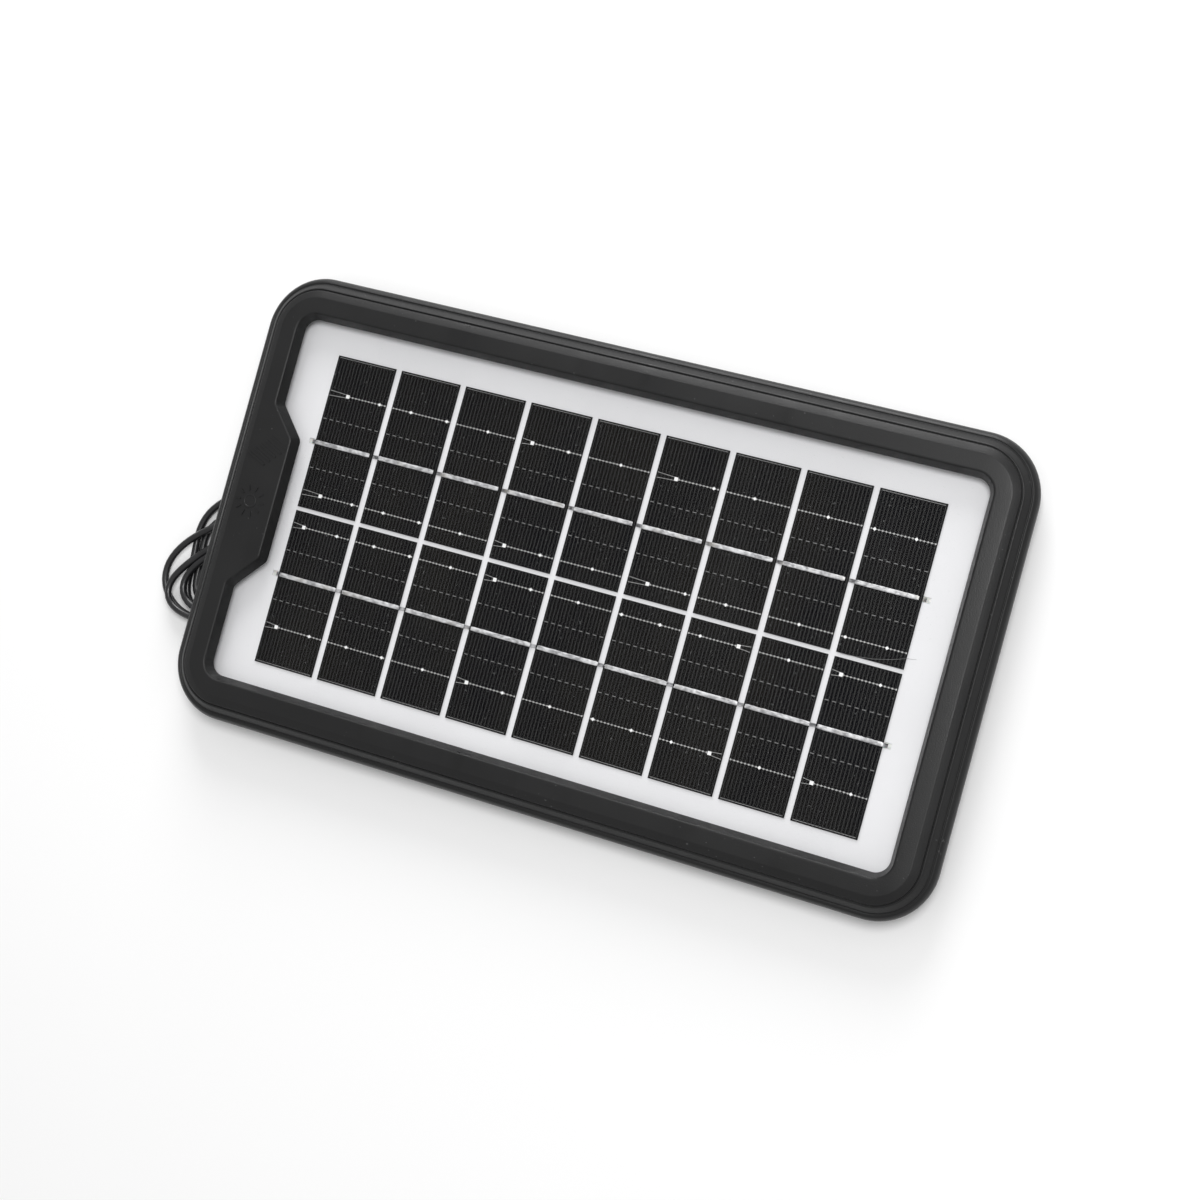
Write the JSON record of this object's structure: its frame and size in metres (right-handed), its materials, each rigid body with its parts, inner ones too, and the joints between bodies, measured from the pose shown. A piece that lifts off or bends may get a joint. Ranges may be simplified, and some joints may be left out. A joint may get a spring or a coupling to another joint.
{
  "type": "solar panel",
  "caption": "Small rectangular solar panel: rows of dark strip cells on a white ground under glass, stepped black moulded frame with a side tab, rear junction box, thin tied lead and plug.",
  "frame": {"origin": "centre of the frame's footprint, on the surface that the panel lies on face up (the loose lead, its hank and plug are not counted)", "axes": "+X along the long side away from the tab and the cable outlet, +Y across the panel, +Z out of the glass face"},
  "size_m": [0.2998, 0.1596, 0.017],
  "materials": {
    "frame": "satin black moulded ABS with a fine spark-eroded texture",
    "rear_frame": "satin black moulded ABS",
    "gasket": "black closed-cell foam tape",
    "glass": "clear low-iron cover glass",
    "encapsulant": "clear laminating film",
    "backsheet": "white weatherproof film",
    "cell": "near-black silicon with a fine silver grid",
    "ribbon": "bright tinned copper ribbon",
    "junction_box": "black moulded plastic",
    "diode": "black epoxy with tinned leads",
    "cable_rubber": "black overmoulded PVC",
    "cable": "smooth black PVC sheath",
    "twist_tie": "black plastic-covered wire",
    "plug_metal": "bright nickel plate",
    "screw": "plain zinc-plated steel"
  },
  "bodies": {
    "root": {"backsheet": "backsheet", "blocking_diode": "diode", "cable_hank": "cable", "cable_lead": "cable", "cable_tail": "cable", "cell_a1": "cell", "cell_a2": "cell", "cell_a3": "cell", "cell_a4": "cell", "cell_a5": "cell", "cell_a6": "cell", "cell_a7": "cell", "cell_a8": "cell", "cell_a9": "cell", "cell_b1": "cell", "cell_b2": "cell", "cell_b3": "cell", "cell_b4": "cell", "cell_b5": "cell", "cell_b6": "cell", "cell_b7": "cell", "cell_b8": "cell", "cell_b9": "cell", "cover_glass": "glass", "cross_ribbon": "ribbon", "frame_screw_1": "screw", "frame_screw_2": "screw", "frame_screw_3": "screw", "frame_screw_4": "screw", "front_encapsulant": "encapsulant", "front_frame": "frame", "junction_box": "junction_box", "junction_box_lid": "junction_box", "plug_barrel": "plug_metal", "plug_body": "cable_rubber", "positive_ribbon": "ribbon", "rear_encapsulant": "encapsulant", "rear_frame": "rear_frame", "ribbon_a1": "ribbon", "ribbon_a2": "ribbon", "ribbon_a3": "ribbon", "ribbon_a4": "ribbon", "ribbon_a5": "ribbon", "ribbon_a6": "ribbon", "ribbon_a7": "ribbon", "ribbon_a8": "ribbon", "ribbon_a9": "ribbon", "ribbon_b1": "ribbon", "ribbon_b2": "ribbon", "ribbon_b3": "ribbon", "ribbon_b4": "ribbon", "ribbon_b5": "ribbon", "ribbon_b6": "ribbon", "ribbon_b7": "ribbon", "ribbon_b8": "ribbon", "ribbon_b9": "ribbon", "seal_gasket": "gasket", "strain_relief": "cable_rubber", "twist_tie": "twist_tie"}
  },
  "joints": []
}
